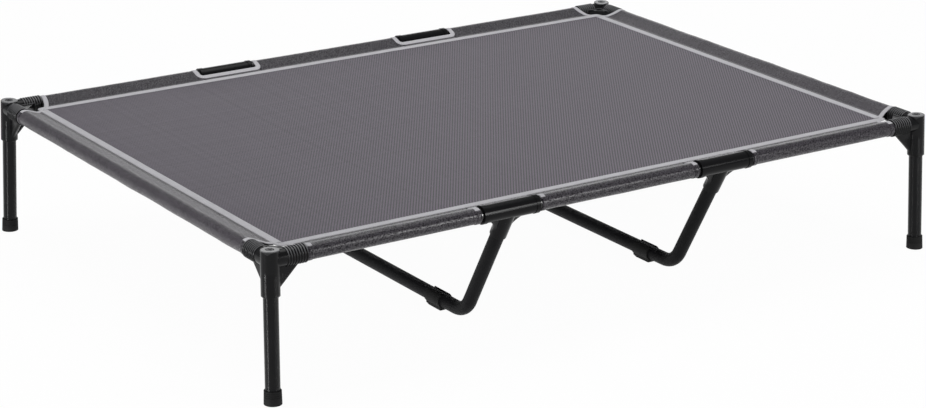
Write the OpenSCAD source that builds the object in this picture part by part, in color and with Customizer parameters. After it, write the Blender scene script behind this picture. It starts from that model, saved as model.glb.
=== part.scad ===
// Raised dog cot: a knock-down steel tube frame with push-fit corner and tee
// connectors, two floor braces and a stretched mesh sling.
// Millimetres. X runs along the length, -Y is the front, Z is up from the floor,
// and the origin lies on the floor under the middle of the cot.

/* [Frame] */
// Distance between the leg axes along the length
leg_span_x = 1212; // [900:1:1500]
// Distance between the leg axes across the width
leg_span_y = 866; // [700:1:1100]
// Height of the rail axes above the floor
rail_z = 213; // [180:1:280]
// Outward lean of the legs along the length, in degrees
leg_splay_x = 1.2; // [0:0.1:3]
// Outward lean of the legs across the width, in degrees
leg_splay_y = 2.6; // [0:0.1:3]

/* [Tubes] */
// Outside diameter of the rails
rail_d = 22.2; // [18:0.1:25]
// Wall of the rails
rail_wall = 1.2; // [0.8:0.1:2]
// Outside diameter of the legs
leg_d = 22.2; // [18:0.1:25]
// Wall of the legs
leg_wall = 1.2; // [0.8:0.1:2]
// Outside diameter of the braces
brace_d = 22.2; // [16:0.1:24]
// Wall of the braces
brace_wall = 1.2; // [0.8:0.1:2]
// Radial clearance of a tube in its socket
fit_gap = 0.15; // [0.05:0.05:0.3]

/* [Corner connectors] */
// Wall of the two rail arms between their ribs
arm_wall = 1.9; // [1.8:0.1:4]
// Reach of a rail arm from the leg axis
arm_len = 56; // [45:1:75]
// Solid between the leg socket and the end of a rail
rail_seat = 4; // [2:0.5:8]
// Wall of the leg socket
leg_socket_wall = 2.7; // [2:0.1:5]
// Length of the leg socket below the rail axes
leg_socket_len = 54; // [40:1:70]
// Chamfer at the mouth of the leg socket
leg_socket_chamfer = 1.5; // [0.5:0.1:2]
// Reach of the moulded gusset under each arm, along the arm and down the leg socket
gusset_reach = 59; // [48:1:60]
// Thickness of the gusset
gusset_t = 9; // [6:0.5:14]
// Reach of the level web between the two arms, along each arm
web_reach = 54; // [30:1:56]
// Height of the level web
web_h = 14; // [8:0.5:18]
// Number of grip ribs on each arm
rib_count = 8; // [4:1:8]
// Distance from one grip rib to the next
rib_pitch = 4.4; // [4:0.1:5]
// Radius of a grip rib's round back
rib_back_r = 1.6; // [1.2:0.1:2]
// Height of a grip rib above the arm
rib_rise = 1.2; // [0.5:0.1:1.4]

/* [Corner caps] */
// Height of the round cap above the grip ribs
cap_rise = 0.5; // [0.5:0.1:4]
// Thickness of the cap over the leg
cap_thick = 7; // [5:0.5:10]
// Edge chamfer of the cap
cap_chamfer = 1; // [0.4:0.1:1.5]
// Depth of the dish that holds the screw head
dish_depth = 3.2; // [2:0.1:3.5]
// Diameter of the dish
dish_d = 13; // [12:0.5:18]
// Shank diameter of the leg screw
screw_d = 6; // [4:0.5:7]
// Head diameter of the leg screw
screw_head_d = 11; // [9:0.5:11.5]
// Head height of the leg screw
screw_head_h = 3; // [2:0.1:4]
// Length of screw in the leg plug
screw_bite = 14; // [8:1:18]
// Width of a cross recess slot in the screw head
slot_w = 1.6; // [1:0.1:2]
// Length of a cross recess slot in the screw head
slot_len = 6.4; // [4:0.2:8]
// Depth of the cross recess
slot_depth = 1.6; // [0.8:0.1:1.8]
// Radial clearance of the screw in its holes
screw_gap = 0.1; // [0.05:0.05:0.3]
// Length of the plug in the top of a leg
plug_len = 22; // [20:1:40]
// Radial clearance of the plug in the leg
plug_gap = 0.05; // [0.05:0.05:0.2]

/* [Feet] */
// Wall of a foot at its mouth
foot_wall = 1.7; // [1.5:0.1:4]
// Height of a foot
foot_h = 21; // [15:1:35]
// Thickness of a foot under the leg
foot_floor = 5; // [3:0.5:9]
// Spread of a foot's side from mouth to floor
foot_flare = 0.5; // [0:0.1:2]
// Edge chamfer of a foot
foot_chamfer = 0.8; // [0.3:0.1:1.5]
// Number of grooves round a foot
foot_groove_count = 3; // [1:1:3]
// Distance from one foot groove to the next
foot_groove_pitch = 3.2; // [2.4:0.1:4]
// Radius of a foot groove
foot_groove_r = 0.6; // [0.3:0.1:0.9]

/* [Tee connectors] */
// Distance of the tees from the middle of the cot
tee_x = 202; // [150:1:280]
// Length of a tee along the rail
tee_len = 100; // [95:1:130]
// Wall of a tee round the rail
tee_wall = 2.4; // [2:0.1:4]
// Width of the ring at each end of a tee
tee_ring_w = 7; // [4:0.5:10]
// Height of the ring above the tee
tee_ring_rise = 0.8; // [0.4:0.1:1.5]
// Width of the inner stop between two rails
tee_stop_w = 4; // [2:0.5:8]
// Reach of the inner stop over the end of a rail
tee_stop_rise = 2.5; // [1.5:0.1:4]
// Length of the branch from the rail axis
branch_len = 54; // [52:1:70]
// Wall of the branch round the brace
branch_wall = 2; // [1.6:0.1:4]
// Chamfer at the mouth of the branch
branch_chamfer = 1.2; // [0.5:0.1:1.5]
// Solid between the rail socket and the end of the brace
brace_seat = 4.5; // [3:0.5:8]
// Reach of the moulded gussets beside the branch, along the rail and down the branch
tee_gusset_reach = 44; // [36:1:46]
// Thickness of the tee gussets
tee_gusset_t = 10; // [6:0.5:14]

/* [Braces] */
// Lean of the brace legs from the vertical, in degrees
brace_lean = 29.5; // [15:0.5:35]
// Centre line radius of the brace bends
brace_bend_r = 45; // [35:1:60]
// Growth of the tube wall on each side in a bend
bend_swell = 0.05; // [0.04:0.01:0.2]
// Length of a brace pad
pad_len = 40; // [25:1:60]
// Distance of a pad from the lower bend of the brace
pad_inset = 30; // [5:1:80]
// Wall of a pad round the brace
pad_wall = 2; // [1.5:0.1:4]
// Thickness of a pad under the brace
pad_sole = 3.3; // [2.5:0.1:6]
// Width of a pad on the floor
pad_sole_w = 18; // [12:0.5:22]
// Length of the ramp at the inner end of a pad's sole
pad_ramp = 8; // [4:0.5:12]
// Thickness of a pad at the end of its ramp
pad_tip_t = 1; // [0.8:0.1:2]
// Half angle of the opening along the top of a pad, in degrees
pad_mouth = 32; // [20:1:60]
// Radial clearance of a pad on the brace
pad_gap = 0.15; // [0.05:0.05:0.3]

/* [Sling] */
// Thickness of the mesh cloth
cloth_t = 1; // [0.6:0.1:2]
// Radial clearance of a sleeve on its rail
cloth_gap = 0.3; // [0.1:0.1:1]
// Distance from a rail axis to the seam where the sleeve meets the panel
seam_in = 33; // [28:1:60]
// Height of the panel above the rail axes
seam_rise = 2; // [0:0.5:6]
// Length of sewn cloth between the sleeve pocket and the seam
seam_lap = 6; // [3:0.5:9]
// Width of the seam tape
tape_w = 15; // [8:0.5:30]
// Thickness of the seam tape
tape_t = 0.8; // [0.4:0.1:1.5]
// Room between the corner arms and the round cut-out of the sling
corner_room = 2; // [1:0.5:8]
// Bare rail between a tee and the sleeve next to it
tee_room = 5; // [2:0.5:15]
// Room between a tee's rings and the sling's cut edge beside them
tee_cut_room = 3.5; // [1:0.5:4]
// Thickness of the edge binding
binding_t = 0.8; // [0.4:0.1:1.5]

/* [Hidden] */
$fn = 72;

// Colours of the finishes
PLASTIC = [0.12, 0.12, 0.13];
COATED_STEEL = [0.13, 0.13, 0.14];
RUBBER = [0.09, 0.09, 0.09];
ZINC = [0.3, 0.3, 0.31];
MESH = [0.42, 0.41, 0.43];
TAPE = [0.7, 0.69, 0.71];

// Leg axes and rail radii
half_x = leg_span_x / 2;
half_y = leg_span_y / 2;
rail_r = rail_d / 2;
brace_r = brace_d / 2;
rail_bore_r = rail_r + fit_gap;
leg_bore_r = leg_d / 2 + fit_gap;
brace_bore_r = brace_r + fit_gap;

// Corner connector
arm_r = rail_bore_r + arm_wall;
leg_socket_r = leg_bore_r + leg_socket_wall;
rail_start = leg_bore_r + rail_seat;
cap_top = arm_r + rib_rise + cap_rise;
cap_under = cap_top - cap_thick;
dish_floor = cap_top - dish_depth;
shank_foot = cap_under - screw_bite;

// Leg, measured along its own axis from the crossing with the rail axes
leg_drop = rail_z / (cos(leg_splay_x) * cos(leg_splay_y));
leg_foot = foot_floor - leg_drop;
leg_len = cap_under - leg_foot;
foot_r = leg_bore_r + foot_wall;

// Tee connector
tee_r = rail_bore_r + tee_wall;
tee_half = tee_len / 2;
tee_stop_r = rail_r - tee_stop_rise;
branch_r = brace_bore_r + branch_wall;
brace_start = rail_bore_r + brace_seat;

// Brace centre line, in the plane across the cot
run_z = pad_sole + pad_gap + brace_r;
brace_turn = 90 - brace_lean;
bend_tangent = brace_bend_r * tan(brace_turn / 2);
brace_drop = (rail_z - run_z) / cos(brace_lean);
brace_leg_end = brace_drop - bend_tangent;
run_end = half_y - brace_drop * sin(brace_lean) - bend_tangent;
bend_bite = 1;
pad_y = run_end - pad_inset - pad_len / 2;

// Sling
sleeve_bore_r = rail_r + cloth_gap;
sleeve_r = sleeve_bore_r + cloth_t;
panel_z = rail_z + seam_rise;
panel_half_x = half_x - seam_in;
panel_half_y = half_y - seam_in;
cut_r = arm_len + corner_room;
sleeve_start = tee_half + tee_room;
pocket_end = [seam_in - seam_lap, seam_rise];
ply_rise = [0, cloth_t];
ply_lap = 0.05;
tee_cut_in = tee_r + tee_ring_rise + tee_cut_room;

// Puts children at a corner of the cot, with their +X and +Y pointing to its middle
module at_corner(sx, sy) {
  translate([sx * half_x, sy * half_y, 0])
    mirror([sx > 0 ? 1 : 0, 0, 0])
      mirror([0, sy > 0 ? 1 : 0, 0])
        children();
}

// Puts children at all four corners
module at_corners() {
  for (sx = [-1, 1], sy = [-1, 1]) {
    at_corner(sx, sy) children();
  }
}

// Leans children out as a leg does, about the crossing of the axes
module splayed() {
  rotate([-leg_splay_y, leg_splay_x, 0]) children();
}

// Puts children on a leg axis, with the crossing of the axes as their origin
module at_leg(sx, sy) {
  at_corner(sx, sy) translate([0, 0, rail_z]) splayed() children();
}

// Puts children on all four leg axes
module at_legs() {
  for (sx = [-1, 1], sy = [-1, 1]) {
    at_leg(sx, sy) children();
  }
}

// Turns children that point along Z to point along X
module along_x(from) {
  translate([from, 0, 0]) rotate([0, 90, 0]) children();
}

// Swaps X and Y, so that an arm along X becomes an arm along Y
module swap_xy() {
  mirror([1, -1, 0]) children();
}

// Straight hollow tube along Z
module tube(d, wall, len) {
  linear_extrude(len)
    difference() {
      circle(d = d);
      circle(d = d - 2 * wall);
    }
}

// Quarter bend of a round bar, from the X axis down to the Z axis
module elbow(bend_r, bar_r) {
  translate([bend_r, 0, -bend_r])
    rotate([90, 0, 0])
      rotate([0, 0, 90])
        rotate_extrude(angle = 90)
          translate([bend_r, 0])
            circle(r = bar_r);
}

// Moulded gusset in the angle between +X and -Z: a plate with a straight, rounded edge,
// which points to both axes at the given reach
module straight_gusset(reach, thick) {
  half_t = thick / 2;
  bar_reach = reach - half_t * sqrt(2);
  rotate([90, 0, 0])
    linear_extrude(thick, center = true)
      polygon([[0, 0], [bar_reach, 0], [0, -bar_reach]]);
  translate([0, 0, -bar_reach])
    rotate([0, 45, 0])
      cylinder(r = half_t, h = bar_reach * sqrt(2));
}

// Moulded gusset in the angle between +X and -Z: a plate with a rounded, hollow edge,
// which ends at the given distance from both axes
module hollow_gusset(reach, edge_in, thick) {
  half_t = thick / 2;
  mid_r = reach - edge_in + half_t;
  rotate([90, 0, 0])
    linear_extrude(thick, center = true)
      difference() {
        translate([0, -reach]) square(reach);
        translate([reach, -reach]) circle(r = mid_r);
      }
  translate([reach - mid_r, 0, mid_r - reach]) elbow(mid_r, half_t);
}

// Corner connector, seen with the crossing of the axes as its origin

// Ribbed arm along X, turned from one profile
module rail_arm() {
  along_x(0)
    rotate_extrude() {
      square([arm_r, arm_len]);
      for (i = [0 : rib_count - 1]) {
        translate([arm_r + rib_rise - rib_back_r, arm_len - rib_back_r - i * rib_pitch])
          circle(r = rib_back_r);
      }
    }
  straight_gusset(gusset_reach, gusset_t);
}

// Upright socket for the leg, with the round cap on top
module leg_socket() {
  chamfer_r = leg_socket_r - leg_socket_chamfer;
  cap_edge_r = leg_socket_r - cap_chamfer;
  rotate_extrude()
    polygon([
      [0, -leg_socket_len],
      [chamfer_r, -leg_socket_len],
      [leg_socket_r, leg_socket_chamfer - leg_socket_len],
      [leg_socket_r, cap_top - cap_chamfer],
      [cap_edge_r, cap_top],
      [0, cap_top]
    ]);
}

// Level web that ties the two arms together
module arm_web() {
  linear_extrude(web_h, center = true) polygon([[0, 0], [web_reach, 0], [0, web_reach]]);
}

module rail_socket() {
  along_x(rail_start) cylinder(r = rail_bore_r, h = arm_len);
}

module connector_bores() {
  rail_socket();
  swap_xy() rail_socket();
  splayed() {
    translate([0, 0, leg_foot]) cylinder(r = leg_bore_r, h = leg_len);
    cylinder(r = screw_d / 2 + screw_gap, h = cap_top + cap_thick);
    translate([0, 0, dish_floor]) cylinder(d = dish_d, h = cap_thick);
  }
}

module corner(sx, sy) {
  color(PLASTIC)
    at_corner(sx, sy)
      translate([0, 0, rail_z])
        difference() {
          union() {
            splayed() leg_socket();
            rail_arm();
            swap_xy() rail_arm();
            arm_web();
          }
          connector_bores();
        }
}

// Legs, feet and their fastenings

module leg(sx, sy) {
  color(COATED_STEEL)
    at_leg(sx, sy)
      translate([0, 0, leg_foot])
        tube(leg_d, leg_wall, leg_len);
}

// Foot profile with its flare, chamfer and grooves, turned round the leg axis and cut flat at the floor
module foot(sx, sy) {
  base_r = foot_r + foot_flare;
  first_groove = foot_h - foot_groove_pitch;
  color(RUBBER)
    intersection() {
      at_leg(sx, sy)
        translate([0, 0, -leg_drop])
          difference() {
            rotate_extrude()
              difference() {
                polygon([
                  [0, -foot_floor],
                  [base_r, -foot_floor],
                  [base_r, 0],
                  [foot_r, foot_h - foot_chamfer],
                  [foot_r - foot_chamfer, foot_h],
                  [0, foot_h]
                ]);
                for (i = [0 : foot_groove_count - 1]) {
                  translate([foot_r + foot_groove_r / 2, first_groove - i * foot_groove_pitch])
                    circle(r = foot_groove_r);
                }
              }
            translate([0, 0, foot_floor]) cylinder(r = leg_bore_r, h = foot_h);
          }
      translate([-leg_span_x, -leg_span_y, 0]) cube([2 * leg_span_x, 2 * leg_span_y, rail_z]);
    }
}

module leg_screws() {
  color(ZINC)
    at_legs()
      difference() {
        union() {
          translate([0, 0, dish_floor]) cylinder(d = screw_head_d, h = screw_head_h);
          translate([0, 0, shank_foot]) cylinder(d = screw_d, h = dish_floor - shank_foot);
        }
        translate([0, 0, dish_floor + screw_head_h - slot_depth])
          linear_extrude(slot_depth + screw_head_h) {
            square([slot_len, slot_w], center = true);
            square([slot_w, slot_len], center = true);
          }
      }
}

module leg_plugs() {
  plug_r = leg_d / 2 - leg_wall - plug_gap;
  color(PLASTIC)
    at_legs()
      translate([0, 0, cap_under - plug_len])
        linear_extrude(plug_len)
          difference() {
            circle(r = plug_r);
            circle(d = screw_d + 2 * screw_gap);
          }
}

// Rails

// Rail tube of a long side, from one X to another
module long_rail(sy, from, to) {
  color(COATED_STEEL)
    translate([0, sy * half_y, rail_z])
      along_x(from)
        tube(rail_d, rail_wall, to - from);
}

module outer_rail(sx, sy) {
  near = tee_x + tee_stop_w / 2;
  far = half_x - rail_start;
  long_rail(sy, sx > 0 ? near : -far, sx > 0 ? far : -near);
}

module middle_rail(sy) {
  reach = tee_x - tee_stop_w / 2;
  long_rail(sy, -reach, reach);
}

module end_rail(sx) {
  reach = half_y - rail_start;
  color(COATED_STEEL)
    translate([sx * half_x, 0, rail_z])
      rotate([-90, 0, 0])
        translate([0, 0, -reach])
          tube(rail_d, rail_wall, 2 * reach);
}

// Tee connector, seen with the rail along X and the branch straight down

module tee_body() {
  branch_end_r = branch_r - branch_chamfer;
  along_x(-tee_half)
    rotate_extrude() {
      square([tee_r, tee_len]);
      square([tee_r + tee_ring_rise, tee_ring_w]);
      translate([0, tee_len - tee_ring_w]) square([tee_r + tee_ring_rise, tee_ring_w]);
    }
  rotate_extrude()
    polygon([
      [0, 0],
      [branch_r, 0],
      [branch_r, branch_chamfer - branch_len],
      [branch_end_r, -branch_len],
      [0, -branch_len]
    ]);
  for (side = [0, 1]) {
    mirror([side, 0, 0])
      hollow_gusset(tee_gusset_reach, tee_r + tee_ring_rise / 2, tee_gusset_t);
  }
}

module tee_bores() {
  along_x(-tee_half) cylinder(r = tee_stop_r, h = tee_len);
  for (side = [0, 1]) {
    mirror([side, 0, 0])
      along_x(tee_stop_w / 2)
        cylinder(r = rail_bore_r, h = tee_len);
  }
  translate([0, 0, -brace_start - branch_len]) cylinder(r = brace_bore_r, h = branch_len);
}

module tee(sx, sy) {
  color(PLASTIC)
    translate([sx * tee_x, sy * half_y, rail_z])
      rotate([-sy * brace_lean, 0, 0])
        difference() {
          tee_body();
          tee_bores();
        }
}

// Braces

// Bend and leg of a brace on the front side, from the end of its level run
module brace_side() {
  leg_end = brace_leg_end + bend_bite;
  translate([0, -run_end, brace_bend_r])
    rotate([90, 0, 90])
      rotate([0, 0, -90 - brace_turn])
        rotate_extrude(angle = brace_turn)
          translate([brace_bend_r, 0])
            difference() {
              circle(r = brace_r + bend_swell);
              circle(r = brace_r - brace_wall - bend_swell);
            }
  translate([0, -half_y, rail_z - run_z])
    rotate([brace_lean, 0, 0])
      translate([0, 0, -leg_end])
        tube(brace_d, brace_wall, leg_end - brace_start);
}

module brace(sx) {
  run_reach = run_end + bend_bite;
  color(COATED_STEEL)
    translate([sx * tee_x, 0, run_z]) {
      translate([0, run_reach, 0]) rotate([90, 0, 0]) tube(brace_d, brace_wall, 2 * run_reach);
      brace_side();
      mirror([0, 1, 0]) brace_side();
    }
}

// Clip-on pad: a ring open along its top, on a flat sole that ramps up at its inner end
module brace_pad(sx, sy) {
  bore_r = brace_r + pad_gap;
  outer_r = bore_r + pad_wall;
  mouth_h = 2 * outer_r;
  mouth_w = mouth_h * tan(pad_mouth);
  color(RUBBER)
    translate([sx * tee_x, sy * pad_y, run_z])
      mirror([0, sy > 0 ? 1 : 0, 0])
        difference() {
          rotate([90, 0, 0])
            linear_extrude(pad_len, center = true)
              difference() {
                union() {
                  circle(r = outer_r);
                  translate([-pad_sole_w / 2, -run_z]) square([pad_sole_w, run_z]);
                }
                circle(r = bore_r);
                polygon([[0, 0], [mouth_w, mouth_h], [-mouth_w, mouth_h]]);
                translate([-outer_r, -run_z - outer_r]) square([2 * outer_r, outer_r]);
              }
          rotate([90, 0, 90])
            linear_extrude(2 * outer_r, center = true)
              polygon([
                [pad_len / 2 - pad_ramp, -run_z],
                [pad_len / 2, -run_z - outer_r],
                [pad_len / 2 + outer_r, -run_z],
                [pad_len / 2, -bore_r - pad_tip_t]
              ]);
        }
}

// Sling

// Point where a straight line from p just enters a circle of radius r about the origin
function touch(p, r, side) =
  let (
    inner_r = r - ply_lap,
    a = atan2(p.y, p.x) + side * acos(inner_r / norm(p))
  )
  [inner_r * cos(a), inner_r * sin(a)];

// Turns an outline, drawn with the rail at the origin, into a run along +X with its panel towards +Y
module sweep_x(len) {
  rotate([90, 0, 90]) linear_extrude(len) children();
}

// Outer form of a sleeve: the round over the rail, and both plies drawn to the sewn lap
module sleeve_form(len) {
  top = pocket_end + ply_rise;
  bottom = pocket_end - ply_rise;
  union() {
    sweep_x(len) circle(r = sleeve_r);
    sweep_x(len)
      polygon([
        [0, 0],
        touch(top, sleeve_r, 1),
        top,
        top + [seam_lap, 0],
        bottom + [seam_lap, 0],
        bottom,
        touch(bottom, sleeve_r, -1)
      ]);
  }
}

// Hollow of a sleeve: the bore for the rail, and the pocket up to the sewn lap
module sleeve_hollow(len) {
  sweep_x(len) circle(r = sleeve_bore_r);
  sweep_x(len)
    polygon([
      [0, 0],
      touch(pocket_end, sleeve_bore_r, 1),
      pocket_end,
      touch(pocket_end, sleeve_bore_r, -1)
    ]);
}

module sleeve_run(len) {
  difference() {
    sleeve_form(len);
    sleeve_hollow(len);
  }
}

// Round cut-outs of the sling at the four corners
module corner_cuts() {
  at_corners() cylinder(r = cut_r, h = 2 * rail_z);
}

// Puts children at a long rail, with +Y pointing to the middle of the cot
module at_long_rail(sy) {
  translate([0, sy * half_y, rail_z]) mirror([0, sy > 0 ? 1 : 0, 0]) children();
}

// Puts children at an end rail, with +Y pointing to the middle of the cot
module at_end_rail(sx) {
  translate([sx * half_x, 0, rail_z]) rotate([0, 0, sx * 90]) children();
}

module outer_sleeve(sx, sy) {
  color(MESH)
    difference() {
      at_long_rail(sy)
        mirror([sx > 0 ? 0 : 1, 0, 0])
          translate([tee_x + sleeve_start, 0, 0])
            sleeve_run(half_x - tee_x - sleeve_start);
      corner_cuts();
    }
}

module middle_sleeve(sy) {
  reach = tee_x - sleeve_start;
  color(MESH)
    at_long_rail(sy)
      translate([-reach, 0, 0])
        sleeve_run(2 * reach);
}

module end_sleeve(sx) {
  color(MESH)
    difference() {
      at_end_rail(sx)
        translate([-half_y, 0, 0])
          sleeve_run(2 * half_y);
      corner_cuts();
    }
}

module sling_panel() {
  color(MESH)
    difference() {
      translate([-panel_half_x, -panel_half_y, panel_z - cloth_t / 2])
        cube([2 * panel_half_x, 2 * panel_half_y, cloth_t]);
      corner_cuts();
    }
}

// Tape sewn over the seam, with its outer edge on the seam. It stops a tape's width
// short of the panel's corners, so that no two tapes lie on each other
module tape_strip(half_len) {
  translate([-half_len, seam_in, seam_rise + cloth_t / 2])
    cube([2 * half_len, tape_w, tape_t]);
}

module seam_tape_long(sy) {
  color(TAPE)
    difference() {
      at_long_rail(sy) tape_strip(panel_half_x - tape_w);
      corner_cuts();
    }
}

module seam_tape_end(sx) {
  color(TAPE)
    difference() {
      at_end_rail(sx) tape_strip(panel_half_y - tape_w);
      corner_cuts();
    }
}

// Binding round the cut edge of the sling at each corner
module corner_bindings() {
  color(TAPE)
    at_corners()
      intersection() {
        difference() {
          cylinder(r = cut_r, h = 2 * rail_z);
          cylinder(r = cut_r - binding_t, h = 2 * rail_z);
          translate([0, 0, rail_z]) {
            along_x(0) cylinder(r = sleeve_bore_r, h = 2 * cut_r);
            swap_xy() along_x(0) cylinder(r = sleeve_bore_r, h = 2 * cut_r);
          }
        }
        translate([0, 0, rail_z]) {
          sleeve_form(2 * cut_r);
          swap_xy() sleeve_form(2 * cut_r);
          translate([seam_in, seam_in, seam_rise - cloth_t]) cube([cut_r, cut_r, 2 * cloth_t]);
        }
      }
}

// Bound edge of one tee cut-out: a strip along the panel and a facing on each sleeve end
module tee_binding() {
  strip_end = sleeve_start - binding_t;
  for (side = [0, 1]) {
    mirror([side, 0, 0])
      translate([strip_end, 0, 0])
        difference() {
          sleeve_form(binding_t);
          sweep_x(binding_t) circle(r = sleeve_bore_r);
        }
  }
  translate([-strip_end, tee_cut_in, seam_rise - cloth_t / 2])
    cube([2 * strip_end, seam_in - tee_cut_in, cloth_t]);
}

module tee_bindings() {
  color(TAPE)
    for (sx = [-1, 1], sy = [-1, 1]) {
      at_long_rail(sy) translate([sx * tee_x, 0, 0]) tee_binding();
    }
}

corner(-1, -1);  // corner_front_left
corner(1, -1);  // corner_front_right
corner(-1, 1);  // corner_rear_left
corner(1, 1);  // corner_rear_right
leg(-1, -1);  // leg_front_left
leg(1, -1);  // leg_front_right
leg(-1, 1);  // leg_rear_left
leg(1, 1);  // leg_rear_right
foot(-1, -1);  // foot_front_left
foot(1, -1);  // foot_front_right
foot(-1, 1);  // foot_rear_left
foot(1, 1);  // foot_rear_right
leg_screws();
leg_plugs();
outer_rail(-1, -1);  // front_rail_left
middle_rail(-1);  // front_rail_middle
outer_rail(1, -1);  // front_rail_right
outer_rail(-1, 1);  // rear_rail_left
middle_rail(1);  // rear_rail_middle
outer_rail(1, 1);  // rear_rail_right
end_rail(-1);  // end_rail_left
end_rail(1);  // end_rail_right
tee(-1, -1);  // tee_front_left
tee(1, -1);  // tee_front_right
tee(-1, 1);  // tee_rear_left
tee(1, 1);  // tee_rear_right
brace(-1);  // brace_left
brace(1);  // brace_right
brace_pad(-1, -1);  // brace_pad_front_left
brace_pad(1, -1);  // brace_pad_front_right
brace_pad(-1, 1);  // brace_pad_rear_left
brace_pad(1, 1);  // brace_pad_rear_right
sling_panel();
outer_sleeve(-1, -1);  // front_sleeve_left
middle_sleeve(-1);  // front_sleeve_middle
outer_sleeve(1, -1);  // front_sleeve_right
outer_sleeve(-1, 1);  // rear_sleeve_left
middle_sleeve(1);  // rear_sleeve_middle
outer_sleeve(1, 1);  // rear_sleeve_right
end_sleeve(-1);  // end_sleeve_left
end_sleeve(1);  // end_sleeve_right
seam_tape_long(-1);  // seam_tape_front
seam_tape_long(1);  // seam_tape_rear
seam_tape_end(-1);  // seam_tape_left
seam_tape_end(1);  // seam_tape_right
corner_bindings();
tee_bindings();
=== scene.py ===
# %% [markdown]
# # A raised dog cot
# The cot is a knock-down frame of steel tubes, moulded connectors and rubber feet, with a grey mesh sling
# stretched over it. The frame comes ready made, so this lesson dresses it: camera and light first, then a
# finish for every hard piece, and at last the soft goods, which are the sling, its sewn sleeves, tapes,
# bindings and stitches. The frame is loaded before anything else, because every new piece takes its place
# from it.

# %% Load the frame
import math
from collections import namedtuple

import bmesh
import bpy
from mathutils import Matrix, Vector, noise


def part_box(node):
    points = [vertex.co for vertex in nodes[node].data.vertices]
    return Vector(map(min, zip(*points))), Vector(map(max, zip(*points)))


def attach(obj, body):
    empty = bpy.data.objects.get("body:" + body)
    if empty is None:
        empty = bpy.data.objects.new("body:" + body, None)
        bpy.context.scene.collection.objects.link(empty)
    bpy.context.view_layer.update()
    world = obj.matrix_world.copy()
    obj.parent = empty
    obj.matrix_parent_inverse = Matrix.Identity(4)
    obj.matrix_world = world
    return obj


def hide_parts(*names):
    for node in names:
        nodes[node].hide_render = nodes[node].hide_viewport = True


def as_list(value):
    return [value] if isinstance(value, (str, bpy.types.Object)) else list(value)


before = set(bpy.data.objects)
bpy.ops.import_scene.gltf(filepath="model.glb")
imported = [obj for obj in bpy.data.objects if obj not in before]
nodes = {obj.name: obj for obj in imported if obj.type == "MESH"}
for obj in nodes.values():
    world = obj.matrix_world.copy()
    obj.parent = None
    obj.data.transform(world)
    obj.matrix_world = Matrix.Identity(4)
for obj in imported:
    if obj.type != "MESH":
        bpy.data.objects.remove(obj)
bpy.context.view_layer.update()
BODY = "root"

# %% [markdown]
# A soft piece has to fit the hard one under it. The sizes could be typed in again, but then they would
# drift apart when the frame changes. Reading them from the boxes of the frame's own nodes keeps them
# true.

# %% Measure the frame


def middle(node):
    low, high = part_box(node)
    return (low + high) / 2


def span(node):
    low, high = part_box(node)
    return high - low


half_x = middle("end_rail_right").x
half_y = middle("rear_rail_middle").y
rail_z = middle("end_rail_left").z
panel_half = span("sling_panel") / 2
cloth_t = span("sling_panel").z
panel_rise = middle("sling_panel").z - rail_z
seam_in = half_y - panel_half.y
sleeve_low, sleeve_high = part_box("end_sleeve_left")
sleeve_r = -sleeve_low.x - half_x
cut_r = math.hypot(seam_in, half_y - sleeve_high.y)
print("seam", round(seam_in, 4), "sleeve radius", round(sleeve_r, 4), "corner cut", round(cut_r, 4))

# %% [markdown]
# The camera stands off the front left corner, a little above the cot, and looks across it to the back
# right. A wide lens close by would spread the near corner, and a long one keeps the far edge nearly as
# long as the near one. The angles, the distance and the focal length were fitted to the photograph, and
# the last turn is the small roll of a hand-held camera.

# %% Set the camera
view_azimuth = math.radians(-33.726)
view_elevation = math.radians(18.779)
view_roll = math.radians(0.377)
view_distance = 4.4631
view_target = Vector((0.0066, 0.0, 0.0589))
focal_px = 2686.9
photo_width_px = 926
sensor_mm = 36.0

level = math.cos(view_elevation)
view_back = Vector((
    math.sin(view_azimuth) * level,
    -math.cos(view_azimuth) * level,
    math.sin(view_elevation),
))
camera_data = bpy.data.cameras.new("camera")
camera_data.sensor_width = sensor_mm
camera_data.lens = sensor_mm * focal_px / photo_width_px
camera = bpy.data.objects.new("camera", camera_data)
look = (-view_back).to_track_quat("-Z", "Y").to_matrix().to_4x4()
place = Matrix.Translation(view_target + view_back * view_distance)
camera.matrix_world = place @ look @ Matrix.Rotation(view_roll, 4, "Z")
bpy.context.scene.collection.objects.link(camera)
bpy.context.scene.camera = camera
print("camera at", [round(c, 3) for c in camera.matrix_world.translation], "lens", round(camera_data.lens, 2))

# %% [markdown]
# Shader trees grow fast when every sum is a node that has to be made and linked by hand. This small class
# wraps one output socket, so that plain arithmetic on it adds the Math nodes, and one method makes any
# other node.

# %% Wrap sockets for shader arithmetic


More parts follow.
